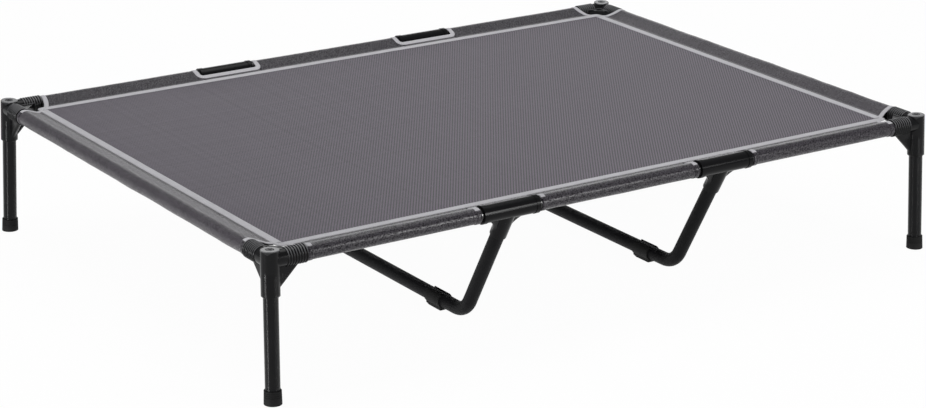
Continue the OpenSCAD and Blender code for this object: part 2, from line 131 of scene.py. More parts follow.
class Wire:
    """One output of a shader tree."""

    def __init__(self, tree, socket=None):
        self.tree = tree
        self.socket = socket

    def node(self, kind, settings, sockets, output=0):
        """A node of any kind: its settings come first, then a value or a wire for each socket."""
        made = self.tree.nodes.new("ShaderNode" + kind)
        for name, value in settings.items():
            setattr(made, name, value)
        for name, value in sockets.items():
            if isinstance(value, Wire):
                self.tree.links.new(value.socket, made.inputs[name])
            else:
                made.inputs[name].default_value = value
        return Wire(self.tree, made.outputs[output] if made.outputs else None)

    def math(self, operation, *values):
        return self.node("Math", {"operation": operation}, dict(enumerate(values)))

    def __add__(self, other):
        return self.math("ADD", self, other)

    def __sub__(self, other):
        return self.math("SUBTRACT", self, other)

    def __rsub__(self, other):
        return self.math("SUBTRACT", other, self)

    def __mul__(self, other):
        return self.math("MULTIPLY", self, other)

    def __truediv__(self, other):
        return self.math("DIVIDE", self, other)

    def __pow__(self, other):
        return self.math("POWER", self, other)

    def __abs__(self):
        return self.math("ABSOLUTE", self)

    __radd__ = __add__
    __rmul__ = __mul__

    def sine(self):
        return self.math("SINE", self)

    def clamp(self):
        return self.node("Clamp", {}, {"Value": self})

    def mix(self, low, high):
        """A colour from low to high, with this wire as the share of high."""
        return self.node("Mix", {"data_type": "RGBA"}, {0: self, 6: low, 7: high}, output=2)

    def noise(self, vector, scale, detail=2.0):
        return self.node("TexNoise", {}, {"Vector": vector, "Scale": scale, "Detail": detail})

    def bump(self, height, depth):
        return self.node("Bump", {}, {"Height": height, "Distance": depth})

    def parts(self):
        """The three parts of a vector."""
        split = self.node("SeparateXYZ", {}, {"Vector": self}).socket.node
        return [Wire(self.tree, output) for output in split.outputs]


print("shader arithmetic ready")

# %% [markdown]
# Every finish starts the same way, as a material with one Principled shader. What is the same all over a
# piece is set on the shader's own sockets, and only what changes over the surface is linked. More could
# be linked, but each link is worked out again for every point, and a constant isn't.

# %% Start a finish


def new_finish(name, constants):
    """A material with one Principled shader, whose constant sockets are set on the shader itself."""
    finish = bpy.data.materials.new(name)
    finish.use_nodes = True
    shader = finish.node_tree.nodes["Principled BSDF"]
    for socket, value in constants.items():
        shader.inputs[socket].default_value = value
    return finish, shader, Wire(finish.node_tree)


def feed(shader, **wires):
    """Links wires to the shader; Base_Color stands for the socket Base Color."""
    for name, wire in wires.items():
        wire.tree.links.new(wire.socket, shader.inputs[name.replace("_", " ")])


print("finishes can be mixed")

# %% [markdown]
# The studio is a white floor, an even pale room and a few soft boxes. The floor has to look white without
# more light on the cot. So for camera, glossy and transmission rays most of it is an even glow of
# strength one, and the rest is plain white paint, which keeps a faint shadow under the feet.

# %% Lay the floor
floor_reach = 14.0
floor_drop = 0.0004
floor_glow = 0.97

bm = bmesh.new()
bmesh.ops.create_grid(bm, x_segments=1, y_segments=1, size=floor_reach)
bmesh.ops.translate(bm, verts=bm.verts, vec=(0, 0, -floor_drop))
floor_mesh = bpy.data.meshes.new("floor")
bm.to_mesh(floor_mesh)
bm.free()
floor = bpy.data.objects.new("floor", floor_mesh)
bpy.context.scene.collection.objects.link(floor)

paint = bpy.data.materials.new("white_floor")
paint.use_nodes = True
paint.node_tree.nodes.clear()
wire = Wire(paint.node_tree)
seen = wire.node("LightPath", {}, {}, output="Is Camera Ray")
mirrored = wire.node("LightPath", {}, {}, output="Is Glossy Ray")
passed = wire.node("LightPath", {}, {}, output="Is Transmission Ray")
matte = wire.node("BsdfDiffuse", {}, {"Color": (0.86, 0.86, 0.86, 1)})
glow = wire.node("Emission", {}, {"Color": (1, 1, 1, 1), "Strength": 1.0})
share = (seen + mirrored + passed).clamp() * floor_glow
white = wire.node("MixShader", {}, {0: share, 1: matte, 2: glow})
wire.node("OutputMaterial", {}, {"Surface": white})
floor_mesh.materials.append(paint)
print("floor of", 2 * floor_reach, "m")

# %% [markdown]
# The room light is even, so that every side of the cot reads. A lamp could be a small sun, but then black
# tubes show hard white dots. Soft boxes give them the long calm highlights of a product photograph: a
# large one overhead for the sling, a wide one behind for the sheen on flat tops, a low one at the left
# and a narrow one at the front right for the bands along legs and sleeves, and one more in front, which
# the tees and the bare rail ends beside them mirror.

# %% Hang the soft boxes
room_strength = 0.4
aim = Vector((0.0, 0.0, 0.18))

world = bpy.data.worlds.new("studio")
bpy.context.scene.world = world
world.use_nodes = True
background = world.node_tree.nodes["Background"]
background.inputs["Color"].default_value = (0.97, 0.98, 1.0, 1)
background.inputs["Strength"].default_value = room_strength


def soft_box(name, position, width, height, watts):
    lamp = bpy.data.lights.new(name, "AREA")
    lamp.shape = "RECTANGLE"
    lamp.size = width
    lamp.size_y = height
    lamp.energy = watts
    box = bpy.data.objects.new(name, lamp)
    box.location = position
    box.rotation_euler = (aim - Vector(position)).to_track_quat("-Z", "Y").to_euler()
    bpy.context.scene.collection.objects.link(box)
    print("hung", name, "soft box of", watts, "W")


soft_box("overhead", (0.0, 0.4, 2.6), width=2.4, height=2.0, watts=34)
soft_box("rear", (1.8, 2.8, 0.95), width=2.6, height=0.9, watts=11)
soft_box("left", (-2.6, -0.45, 0.32), width=0.35, height=0.55, watts=26)
soft_box("right", (0.9, -2.4, 0.7), width=0.25, height=0.7, watts=11)
soft_box("front", (1.27, -2.4, 1.1), width=0.75, height=0.45, watts=11)
bpy.context.scene.view_settings.view_transform = "Standard"
print("room strength", room_strength)

# %% [markdown]
# The connectors are black nylon out of a mould, with a satin sheen that varies a little and a breath of
# dust on what faces up. The cavity for a leg socket was turned on a lathe, and its faint rings draw each
# highlight out into a streak down the socket; the tees' mould was polished. So the bump is a fine wave on
# the corners and a soft cloud on the tees. The tops of the grip ribs and the cap of each corner carry a
# painted highlight: a lighter grey, strongest where they face up, that stands in for the light they
# catch. The distance from the nearest rail's axis tells the crest of a rib from the groove beside it, and
# the distance beside the rail leaves out the level web between two arms.

# %% Mould the plastic
ring_pitch = 0.0005
ring_depth = 0.00003
rib_crest_r = 0.0138
crest_fade = 0.0004
web_gap = 0.0012
# The two values below set where, below the rail axis, the painted highlight on the crests starts and how fast
# it grows.
highlight_drop = 0.004
highlight_fade = 0.014


def moulded_plastic(name, specular, turned, painted_crests):
    """Black nylon, with lathe rings where turned is 1 and a painted highlight on the rib crests and the cap
    where the last argument is 1.
    """
    finish, shader, wire = new_finish(name, {"Specular IOR Level": specular})
    spot = wire.node("TexCoord", {}, {}, output="Object")
    x, y, z = spot.parts()
    below = ((rail_z - sleeve_r - z) / sleeve_r).clamp() * turned
    rings = (z * (math.tau / ring_pitch)).sine() * below
    cloud = wire.noise(spot, 34.0, 4.0)
    facing_up = wire.node("NewGeometry", {}, {}, output="Normal").parts()[2].clamp()
    dust = facing_up ** 3.0 * cloud * 0.5
    height = z - rail_z
    beside = wire.math("MINIMUM", abs(abs(y) - half_y), abs(abs(x) - half_x))
    off_rail = (beside * beside + height * height) ** 0.5
    crest = ((off_rail - rib_crest_r) / crest_fade).clamp() * ((height + highlight_drop) / highlight_fade).clamp()
    on_arm = ((rib_crest_r + web_gap - beside) / crest_fade).clamp()
    # Painted highlight: rib crests and the cap are painted a lighter grey, most where they face up.
    crest_highlight = crest * on_arm * (0.12 + 0.88 * facing_up) * (0.3 + cloud) * painted_crests
    black = dust.mix((0.004, 0.004, 0.0045, 1), (0.011, 0.011, 0.012, 1))
    feed(
        shader,
        Base_Color=crest_highlight.mix(black, (0.2, 0.2, 0.205, 1)),
        Roughness=0.14 + cloud * 0.12,
        Normal=wire.bump(rings + cloud, ring_depth),
    )
    return finish


# The corners get the painted highlight on their crests; the tees get none.
corner_plastic = moulded_plastic("corner_plastic", specular=0.16, turned=1.0, painted_crests=1.0)
tee_plastic = moulded_plastic("tee_plastic", specular=0.12, turned=0.0, painted_crests=0.0)
print("finishes:", corner_plastic.name, tee_plastic.name)

# %% [markdown]
# The tubes are steel with a black powder coat. Baked powder never lies quite flat: it has the slight
# waves called orange peel, which break the edges of long highlights. That is a low bump a few millimetres
# across, laid over the same fine rings that the plastic has. The rails are smoother and glossier than the
# legs, so their bare ends glint between the sleeves and the tees, and the braces on the floor are the
# dullest.

# %% Coat the steel


def coated_steel(name, axis, ring_share, specular, roughness, tone):
    """Black powder coat on a tube along an axis, which is 0, 1 or 2 for x, y or z."""
    finish, shader, wire = new_finish(name, {"Specular IOR Level": specular})
    spot = wire.node("TexCoord", {}, {}, output="Object")
    rings = (spot.parts()[axis] * (math.tau / ring_pitch)).sine() * ring_share
    peel = wire.noise(spot, 420.0, 1.0)
    cloud = wire.noise(spot, 22.0, 3.0)
    dark = (0.5 * tone, 0.5 * tone, 0.6 * tone, 1)
    light = (1.5 * tone, 1.5 * tone, 1.6 * tone, 1)
    feed(
        shader,
        Base_Color=cloud.mix(dark, light),
        Roughness=roughness + cloud * 0.12,
        Normal=wire.bump(rings + peel, ring_depth),
    )
    return finish


leg_steel = coated_steel("leg_steel", axis=2, ring_share=1.0, specular=0.16, roughness=0.16, tone=0.005)
brace_steel = coated_steel("brace_steel", axis=1, ring_share=1.0, specular=0.07, roughness=0.4, tone=0.008)
rail_steel = coated_steel("rail_steel", axis=0, ring_share=0.1, specular=0.8, roughness=0.08, tone=0.005)
print("finishes:", leg_steel.name, brace_steel.name, rail_steel.name)

# %% [markdown]
# Feet and brace pads are soft black rubber, duller than the plastic. The pads carry a fine diamond grip,
# which is two sets of slanting waves multiplied together. On the feet the waves are so wide that they
# look plain, and there is a little floor dust at the bottom.

# %% Press the rubber
dust_height = 0.012


def rubber(name, grip_pitch):
    finish, shader, wire = new_finish(name, {"Specular IOR Level": 0.2})
    spot = wire.node("TexCoord", {}, {}, output="Object")
    _, along, up = spot.parts()
    cloud = wire.noise(spot, 60.0, 4.0)
    speck = wire.noise(spot, 1600.0)
    slant = math.pi / grip_pitch
    diamonds = abs(((along + up) * slant).sine() * ((along - up) * slant).sine())
    low_dust = (1.0 - up / dust_height).clamp() * cloud * 0.6
    feed(
        shader,
        Base_Color=low_dust.mix((0.005, 0.005, 0.005, 1), (0.02, 0.0195, 0.019, 1)),
        Roughness=0.55 + cloud * 0.2,
        Normal=wire.bump(diamonds + speck * 0.2, 0.0003),
    )
    return finish


foot_rubber = rubber("foot_rubber", grip_pitch=0.02)
pad_rubber = rubber("pad_rubber", grip_pitch=0.003)
print("finishes:", foot_rubber.name, pad_rubber.name)

# %% [markdown]
# A screw with a black zinc finish sits in the dish of each cap. Bare metal would shine like a coin there,
# so the metal is dark and only its worn edges, picked out by noise, are lighter.

# %% Blacken the screws


def black_zinc():
    finish, shader, wire = new_finish("black_zinc", {"Metallic": 1.0})
    spot = wire.node("TexCoord", {}, {}, output="Object")
    worn = wire.noise(spot, 700.0, 3.0)
    feed(
        shader,
        Base_Color=(worn ** 3.0).mix((0.02, 0.02, 0.022, 1), (0.2, 0.2, 0.21, 1)),
        Roughness=0.32 + worn * 0.2,
    )
    return finish


zinc = black_zinc()
print("finish:", zinc.name)

# %% [markdown]
# Every hard node keeps its shape and only changes its finish. The first word or two of a node's name tell
# what it is made of, so one table of name starts dresses them all. The first start that fits is taken, so
# a longer one stands before the shorter one that it begins with.

# %% Dress the hard pieces
HARD_FINISHES = {
    "corner_front": corner_plastic,
    "corner_rear": corner_plastic,
    "tee_front": tee_plastic,
    "tee_rear": tee_plastic,
    "leg_plugs": corner_plastic,
    "leg_screws": zinc,
    "leg": leg_steel,
    "front_rail": rail_steel,
    "rear_rail": rail_steel,
    "end_rail": rail_steel,
    "brace_pad": pad_rubber,
    "brace": brace_steel,
    "foot": foot_rubber,
}

dressed = 0
for name, node in nodes.items():
    start = next((start for start in HARD_FINISHES if name.startswith(start)), None)
    if start:
        node.material_slots[0].material = HARD_FINISHES[start]
        dressed += 1
print("dressed", dressed, "hard nodes")

# %% [markdown]
# The sling is a coated-yarn mesh. Up close, thick yarns pass over and under each other; from afar one
# sees only a fine tooth and faint streaks, because no two yarns have quite the same tone. An image of
# cloth would repeat and blur, so the weave is drawn by two waves, one for each set of yarns, and the
# tones come from a noise that is read once per yarn.

# %% Weave the yarns
yarn_pitch = 0.0026


def weave_height(warp_count, weft_count):
    """Height of a plain weave, from 0 to 1, at a count of yarns both ways."""
    warp = (warp_count * math.pi).sine()
    weft = (weft_count * math.pi).sine()
    over = warp * weft
    return 0.5 * (abs(warp) * (1.0 + over) + abs(weft) * (1.0 - over))


def yarn_tone(wire, count):
    """Tone of one set of yarns: each has its own, and all of them drift from yarn to yarn."""
    yarn = wire.math("FLOOR", count)
    single = wire.node("TexWhiteNoise", {"noise_dimensions": "1D"}, {"W": yarn})
    drift = wire.node("TexNoise", {"noise_dimensions": "1D"}, {"W": count, "Scale": 0.3, "Detail": 1.0})
    return single * 0.5 + drift * 0.9 - 0.7


print("yarn pitch", yarn_pitch)

# %% [markdown]
# The cloth has slanting twill lines besides. Yarns and lines read a map in metres that follows the cloth
# round the rails, so they bend with it. The pull on the panel opens the twill most towards the front
# right, so its lines stand out there, and its dull yarns scatter the light. Bent over a rail the twill
# opens unevenly, so the sleeves show less of its lines and more specks, and their stretched coating
# shines. Panel and sleeves are one cloth in three tones: the panel's is lifted by a painted sheen,
# the sleeves' is darkened by painted shade, and the long sleeves are given a deeper painted shade than
# the end ones.

# %% Finish the mesh cloths
CLOTH_MAP = "cloth"
twill_per_warp = 0.52
twill_per_weft = 0.35
open_along = 1.9
open_across = 1.25
open_start = 0.5
patch_scale = 90.0
speck_scale = 430.0


def mesh_cloth(name, shine, coat, twill_share, pull, speck_share, dark, light):
    constants = {"Specular IOR Level": shine, "Sheen Weight": 0.1, "Coat Roughness": 0.3}
    finish, shader, wire = new_finish(name, constants)
    warp_m, weft_m, _ = wire.node("UVMap", {"uv_map": CLOTH_MAP}, {}, output="UV").parts()
    warp_count = warp_m / yarn_pitch
    weft_count = weft_m / yarn_pitch
    height = weave_height(warp_count, weft_count)
    yarns = yarn_tone(wire, warp_count) + yarn_tone(wire, weft_count)
    twill = ((warp_count * twill_per_warp - weft_count * twill_per_weft) * math.tau).sine()
    opened = 1.0 + (open_along * warp_m - open_across * weft_m - open_start) * pull
    opened = wire.node("Clamp", {}, {"Value": opened, "Min": 0.15, "Max": 1.8})
    spot = wire.node("TexCoord", {}, {}, output="Object")
    slub = twill * (1.6 * wire.noise(spot, patch_scale, 3.0) - 0.3)
    speck = wire.noise(spot, speck_scale, 2.0) - 0.5
    pattern = twill_share * slub * opened + speck_share * speck
    tone = (0.3 + 0.28 * height + pattern + 0.25 * yarns).clamp()
    feed(
        shader,
        Base_Color=tone.mix(dark, light),
        Roughness=0.52 - 0.2 * height,
        Coat_Weight=(0.5 + 2.0 * speck_share * speck).clamp() * coat,
        Normal=wire.bump(height, 0.0003),
    )
    return finish


# Painted sheen: the panel's tones are lifted to stand in for the sheen of light glancing off it.
panel_mesh_painted_sheen = mesh_cloth(
    "panel_mesh_painted_sheen",
    shine=0.02,
    coat=0.0,
    twill_share=1.5,
    pull=1.0,
    speck_share=0.3,
    dark=(0.061, 0.0585, 0.064, 1),
    light=(0.149, 0.129, 0.161, 1),
)
# Painted shade: the sleeves are the same cloth with darker tones, the long ones darker than the end ones.
shaded_sleeve_look = {"shine": 0.16, "twill_share": 0.3, "pull": 0.0, "dark": (0.006, 0.0045, 0.007, 1)}
end_mesh_painted_shade = mesh_cloth("end_mesh_painted_shade", coat=0.6, speck_share=1.3, light=(0.068, 0.058, 0.072, 1), **shaded_sleeve_look)
long_mesh_painted_shade = mesh_cloth("long_mesh_painted_shade", coat=0.8, speck_share=2.5, light=(0.04, 0.034, 0.0435, 1), **shaded_sleeve_look)
print("finishes:", panel_mesh_painted_sheen.name, end_mesh_painted_shade.name, long_mesh_painted_shade.name)

# %% [markdown]
# Tapes and bindings are light grey ribbed webbing, and the thread that holds them is a little lighter
# still. The ribs run across the tape, so they follow the same map in metres as the mesh does. Stripes of
# colour could stand for them, but with a bump they also catch the light, as sewn tape does.

# %% Weave the webbing and spin the thread
rib_pitch = 0.0019
strand_pitch = 0.0011


def webbing():
    finish, shader, wire = new_finish("webbing", {"Specular IOR Level": 0.3, "Sheen Weight": 0.15})
    along, across, _ = wire.node("UVMap", {"uv_map": CLOTH_MAP}, {}, output="UV").parts()
    spot = wire.node("TexCoord", {}, {}, output="Object")
    rib = abs((along * (math.pi / rib_pitch)).sine())
    strand = abs((across * (math.pi / strand_pitch) + along * (math.pi / rib_pitch)).sine())
    soil = wire.noise(spot, 45.0, 4.0)
    tone = (0.25 + 0.45 * rib + 0.2 * strand + 0.4 * (soil - 0.5)).clamp()
    feed(
        shader,
        Base_Color=tone.mix((0.30, 0.295, 0.31, 1), (0.58, 0.57, 0.595, 1)),
        Roughness=0.8 - 0.15 * rib,
        Normal=wire.bump(rib + 0.4 * strand, 0.0002),
    )
    return finish


def thread(name, dark, light):
    finish, shader, wire = new_finish(name, {"Specular IOR Level": 0.35})
    spot = wire.node("TexCoord", {}, {}, output="Object")
    twist = wire.noise(spot, 2600.0)
    feed(
        shader,
        Base_Color=twist.mix(dark, light),
        Roughness=0.5 + twist * 0.2,
        Normal=wire.bump(twist, 0.0001),
    )
    return finish


webbing_finish = webbing()
pale_thread = thread("pale_thread", (0.34, 0.33, 0.35, 1), (0.62, 0.61, 0.63, 1))
grey_thread = thread("grey_thread", (0.10, 0.10, 0.105, 1), (0.24, 0.24, 0.245, 1))
print("finishes:", webbing_finish.name, pale_thread.name, grey_thread.name)

# %% [markdown]
# All the soft goods start the same way: a flat grid, like the cloth on the cutting table, whose points
# are then laid one by one where the cloth goes. A function of two shares, along and across, says where.
# The distances along the laid cloth become its map in metres.

# %% Lay cloth from a grid


def run_lengths(points):
    """Distance of each point from the first, along the line through them."""
    total = [0.0]
    for before, after in zip(points, points[1:]):
        total.append(total[-1] + (after - before).length)
    return total


def lay_grid(columns, rows, lay):
    """A grid of cells whose points are laid by lay(along, across), with both shares from 0 to 1."""
    bm = bmesh.new()
    bmesh.ops.create_grid(bm, x_segments=columns, y_segments=rows, size=0.5)
    metres = bm.loops.layers.uv.new(CLOTH_MAP)
    shares = {vert: (vert.co.x + 0.5, vert.co.y + 0.5) for vert in bm.verts}
    along_m = run_lengths([lay(i / columns, 0.5) for i in range(columns + 1)])
    across_m = run_lengths([lay(0.5, j / rows) for j in range(rows + 1)])
    for face in bm.faces:
        for loop in face.loops:
            along, across = shares[loop.vert]
            loop[metres].uv = (along_m[round(along * columns)], across_m[round(across * rows)])
    for vert, (along, across) in shares.items():
        vert.co = lay(along, across)
    return bm


print("cloth is laid with a map called", CLOTH_MAP)

# %% [markdown]
# A piece is more than its mesh. It needs a finish, a body of the frame to ride on, and the name of the
# plain solid that it takes the place of, which is then hidden. These steps could stand beside every
# piece, but one function can't forget any of them. The thickness of cloth comes last, from a Solidify
# modifier, so that the sheet itself stays simple.

# %% Finish a piece


def make_piece(name, bm, finish, slot, *replaced):
    """Turns a bmesh into a finished piece that rides on the frame."""
    mesh = bpy.data.meshes.new(name)
    bm.to_mesh(mesh)
    bm.free()
    mesh.materials.append(finish)
    mesh.shade_smooth()
    piece = bpy.data.objects.new(name, mesh)
    bpy.context.scene.collection.objects.link(piece)
    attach(piece, BODY)
    if replaced:
        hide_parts(*replaced)
    print("made", name, "with", len(mesh.polygons), "faces")
    return piece


def thicken(piece, thickness, offset):
    solid = piece.modifiers.new("thickness", "SOLIDIFY")
    solid.thickness = thickness
    solid.offset = offset
    solid.use_even_offset = True


print("pieces ride on", BODY)

# %% [markdown]
# A sleeve is cloth drawn round a rail: it leaves the seam as the lower ply, runs straight to the tube,
# wraps it, and comes back as the upper ply to the same seam. Its cross section is therefore two sewn
# laps, two tangent lines and one arc. The plies can lift off a little between the seam and the tube, so
# wrinkles are free there and on the round, and held at the laps.

# %% Draw the sleeve's cross section
lap = 0.006
sleeve_t = 0.0006
slack = 0.0001
mid_r = span("end_rail_left").z / 2 + slack + sleeve_t / 2
pocket = seam_in - lap
upper_rise = panel_rise + cloth_t / 2
lower_rise = panel_rise - cloth_t / 2


def touch_angle(rise, side):
    """Angle at the rail where a straight ply from the lap first touches the round."""
    return math.atan2(rise, pocket) + side * math.acos(mid_r / math.hypot(pocket, rise))


upper_touch = touch_angle(upper_rise, 1)
lower_touch = touch_angle(lower_rise, -1) + math.tau
upper_run = math.sqrt(pocket ** 2 + upper_rise ** 2 - mid_r ** 2)
lower_run = math.sqrt(pocket ** 2 + lower_rise ** 2 - mid_r ** 2)
round_run = mid_r * (lower_touch - upper_touch)
girth_total = lap + lower_run + round_run + upper_run + lap


def on_circle(angle):
    return Vector((math.cos(angle), math.sin(angle)))


def section(girth):
    """Inward and upward place, outward normal and freedom to wrinkle, at a distance from the lower seam."""
    left = girth
    if left <= lap:
        return Vector((seam_in - left, lower_rise)), Vector((0, -1)), 0.0
    left -= lap
    if left <= lower_run:
        start = Vector((pocket, lower_rise))
        share = left / lower_run
        return start.lerp(on_circle(lower_touch) * mid_r, share), on_circle(lower_touch), share
    left -= lower_run
    if left <= round_run:
        angle = lower_touch - left / mid_r
        return on_circle(angle) * mid_r, on_circle(angle), 1.0
    left -= round_run
    if left <= upper_run:
        stop = Vector((pocket, upper_rise))
        share = left / upper_run
        return (on_circle(upper_touch) * mid_r).lerp(stop, share), on_circle(upper_touch), 1.0 - share
    left -= upper_run
    return Vector((pocket + left, upper_rise)), Vector((0, 1)), 0.0


print("sleeve girth", round(girth_total, 4))

# %% [markdown]
# Each rail has its own axes: along it, inward to the middle of the cot, and up. All four are the front
# rail turned about the middle, so one rule serves them all. At a corner the cloth is cut round the leg;
# at a tee it is cut square. The lengths come from the boxes of the frame's plain sleeves.

# %% Place the sleeves on the rails
Sleeve = namedtuple("Sleeve", "node side leg first last")
RAIL_TURNS = {"front": 0, "right": 90, "rear": 180, "left": -90}
SLEEVE_SIDES = {
    "front_sleeve_left": "front",
    "front_sleeve_middle": "front",
    "front_sleeve_right": "front",
    "rear_sleeve_left": "rear",
    "rear_sleeve_middle": "rear",
    "rear_sleeve_right": "rear",
    "end_sleeve_left": "left",
    "end_sleeve_right": "right",
}


def rail_reach(side):
    """Distance of a rail from the middle of the cot, and of the legs along it."""
    return (half_y, half_x) if side in ("front", "rear") else (half_x, half_y)


def rail_place(side):
    turn = Matrix.Rotation(math.radians(RAIL_TURNS[side]), 4, "Z")
    out, _ = rail_reach(side)
    return Matrix.Translation((0, 0, rail_z)) @ turn @ Matrix.Translation((0, -out, 0))


def find_sleeve(node):
    side = SLEEVE_SIDES[node]
    back = rail_place(side).inverted()
    ends = sorted((back @ corner).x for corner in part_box(node))
    _, leg = rail_reach(side)
    return Sleeve(node, side, leg, *ends)


def cut_reach(inward):
    """Distance from the leg axis to the round cut, along a rail."""
    return math.sqrt(max(0.0, cut_r ** 2 - inward ** 2))


def end_place(sleeve, last, spot):
    """Where one end of a sleeve lies along its rail, at a place of the cross section."""
    end = sleeve.last if last else sleeve.first
    if abs(end) < sleeve.leg - cut_r:
        return end
    return math.copysign(sleeve.leg - cut_reach(spot.x), end)


sleeves = {node: find_sleeve(node) for node in SLEEVE_SIDES}
print("sleeve lengths", {node: round(s.last - s.first, 3) for node, s in sleeves.items()})

# %% [markdown]
# The long sleeves lie nearly smooth, and the ones at the ends, which take the pull of the whole length,
# hang in broad soft folds. A cloth simulation could find them, but it would find others after every
# change. Two noises, a broad one and a fine one, drawn out on a slant along the rail, stay as they are.

# %% Fold the sleeve cloth
FOLD_HEIGHTS = {"front": 0.0003, "right": 0.0012, "rear": 0.0003, "left": 0.0012}
fold_slant = 0.7
broad_along, broad_round = 13, 26
fine_along, fine_round = 38, 60


def wrinkle(along, girth, seed):
    """Lift of the cloth as a share of the fold height, in long slanting folds."""
    slanted = along + fold_slant * girth
    broad = noise.noise(Vector((slanted * broad_along, girth * broad_round, seed)))
    fine = noise.noise(Vector((slanted * fine_along, girth * fine_round, seed + 7)))
    return max(0.0, 0.45 + 0.8 * broad + 0.3 * fine)


def sleeve_point(sleeve, along, girth, lift=0.0):
    """A point on or above a sleeve, in the frame."""
    spot, normal, free = section(girth)
    folds = FOLD_HEIGHTS[sleeve.side] * wrinkle(along, girth, RAIL_TURNS[sleeve.side] / 10)
    spot = spot + normal * (lift + free * folds)
    return rail_place(sleeve.side) @ Vector((along, spot.x, spot.y))


print("fold heights", FOLD_HEIGHTS)

# %% [markdown]
# With the section and the places known, sewing the sleeves is one loop: a grid along the rail and round
# it, and a Solidify modifier for the thickness of the cloth. A bent cylinder would give the same shape,
# but a grid keeps the map of the yarns true round the bend.

# %% Sew the sleeves
sleeve_cell = 0.006
girth_cells = 56


def sew_sleeve(sleeve):
    columns = round((sleeve.last - sleeve.first) / sleeve_cell)

    def lay(along, across):
        girth = across * girth_total
        spot = section(girth)[0]
        first = end_place(sleeve, False, spot)
        last = end_place(sleeve, True, spot)
        return sleeve_point(sleeve, first + (last - first) * along, girth)

    bm = lay_grid(columns, girth_cells, lay)
    # The long sleeves take the cloth with the deeper painted shade.
    finish = end_mesh_painted_shade if sleeve.node.startswith("end") else long_mesh_painted_shade
    piece = make_piece(sleeve.node + "_cloth", bm, finish, "mesh_cloth", sleeve.node)
    thicken(piece, sleeve_t, 0.0)
    return piece


sleeve_cloths = {node: sew_sleeve(sleeve) for node, sleeve in sleeves.items()}

# %% [markdown]
# The panel is one flat sheet, cut away round the four legs. Even a tight sling dips a little in the
# middle under its own weight and has faint waves from the pull of the seams. A cloth simulation would
# find the same shape, but the dip is so shallow that two formulas do it, and they never change from one
# run to the next.

# %% Stretch the panel
panel_cell = 0.010
panel_dip = 0.0035
panel_wave = 0.0005
waves_per_m = 7


def panel_height(x, y):
    """Height of the panel's middle surface above the rail axes."""
    free = (1 - (x / panel_half.x) ** 2) * (1 - (y / panel_half.y) ** 2)
    wave = noise.noise(Vector((x * waves_per_m, y * waves_per_m, 3.0))) * panel_wave
    return panel_rise - free * (panel_dip - wave)


def half_length(inward):
    """Half the panel's length at a distance from a long rail, where the round cuts take the corners."""
    return half_x - max(seam_in, cut_reach(inward))


def lay_panel(along, across):
    y = (2 * across - 1) * panel_half.y
    x = (2 * along - 1) * half_length(half_y - abs(y))
    return Vector((x, y, rail_z + panel_height(x, y)))


columns = round(2 * panel_half.x / panel_cell)
rows = round(2 * panel_half.y / panel_cell)
panel = make_piece("sling_cloth", lay_grid(columns, rows, lay_panel), panel_mesh_painted_sheen, "mesh_cloth", "sling_panel")
thicken(panel, cloth_t, 0.0)

# %% [markdown]
# A flat tape covers each seam. A plain strip would look like paint, so the tape has a soft crown, edges
# that waver a little under the sewing foot, and two shallow channels where the stitches pull it down.
# They also draw it in, so it is a little narrower than it came off the roll.

# %% Sew the tapes
tape_cell = 0.006
tape_cells = 14
tape_drawn_in = 0.9
tape_w = tape_drawn_in * span("seam_tape_front").y
tape_t = span("seam_tape_front").z
tape_crown = 0.00025
channel_depth = 0.0002
channel_share = 0.17
channel_width = 0.08
edge_waver = 0.0004
wavers_per_m = 21


def tape_point(side, along, across):
    """A point on a tape's top face, with along in metres from the middle of the rail."""
    waver = edge_waver * noise.noise(Vector((along * wavers_per_m, RAIL_TURNS[side], 5.0)))
    inward = seam_in + across * tape_w + waver
    off_middle = abs(2 * across - 1)
    channel = math.exp(-((off_middle - 1 + 2 * channel_share) / channel_width) ** 2)
    top = cloth_t / 2 + tape_t - tape_crown * off_middle ** 4 - channel_depth * channel
    flat = rail_place(side) @ Vector((along, inward, 0))
    flat.z += panel_height(flat.x, flat.y) + top
    return flat


def tape_half(side, across):
    """Half the length of a tape at a share of its width: a long tape ends at the round cuts."""
    inward = seam_in + across * tape_w
    if side in ("front", "rear"):
        return half_length(inward)
    return span("seam_tape_" + side).y / 2


def sew_tape(side):
    def lay(along, across):
        return tape_point(side, (2 * along - 1) * tape_half(side, across), across)

    columns = round(2 * tape_half(side, 1.0) / tape_cell)
    name = "seam_tape_" + side
    piece = make_piece(name + "_webbing", lay_grid(columns, tape_cells, lay), webbing_finish, "webbing", name)
    thicken(piece, tape_t, -1.0)
    return piece


tapes = {side: sew_tape(side) for side in RAIL_TURNS}

# %% [markdown]
# A binding is a narrow tape folded over a raw edge. Its cross section is a flat loop that wraps the
# cloth's edge, given by insets from the cut and lifts off the cloth. The dip in its upper side is the
# groove that the stitches pull.

# %% Fold the binding's cross section
BINDING_LOOP = [
    (0.0076, 0.00045),
    (0.0072, 0.00105),
    (0.0056, 0.00120),
    (0.0046, 0.00100),
    (0.0036, 0.00120),
    (0.0006, 0.00115),
    (-0.0006, 0.00070),
    (-0.0009, 0.00000),
    (-0.0006, -0.00030),
    (0.0006, -0.00036),
    (0.0076, -0.00036),
    (0.0076, 0.00045),
]
groove_inset, groove_lift = BINDING_LOOP[3]
print("binding loop of", len(BINDING_LOOP) - 1, "points, groove at", groove_inset)

# %% [markdown]
# The loop is swept along the cut. A curve with a bevel could do that, but round a sleeve the loop has to
# bend with the cloth. So a path is a list of stations, each with a function that gives the place at any
# inset and lift. A stretch of the path stops a little short of the next, and the sweep bridges the gap
# smoothly.

# %% Sweep the binding along a path


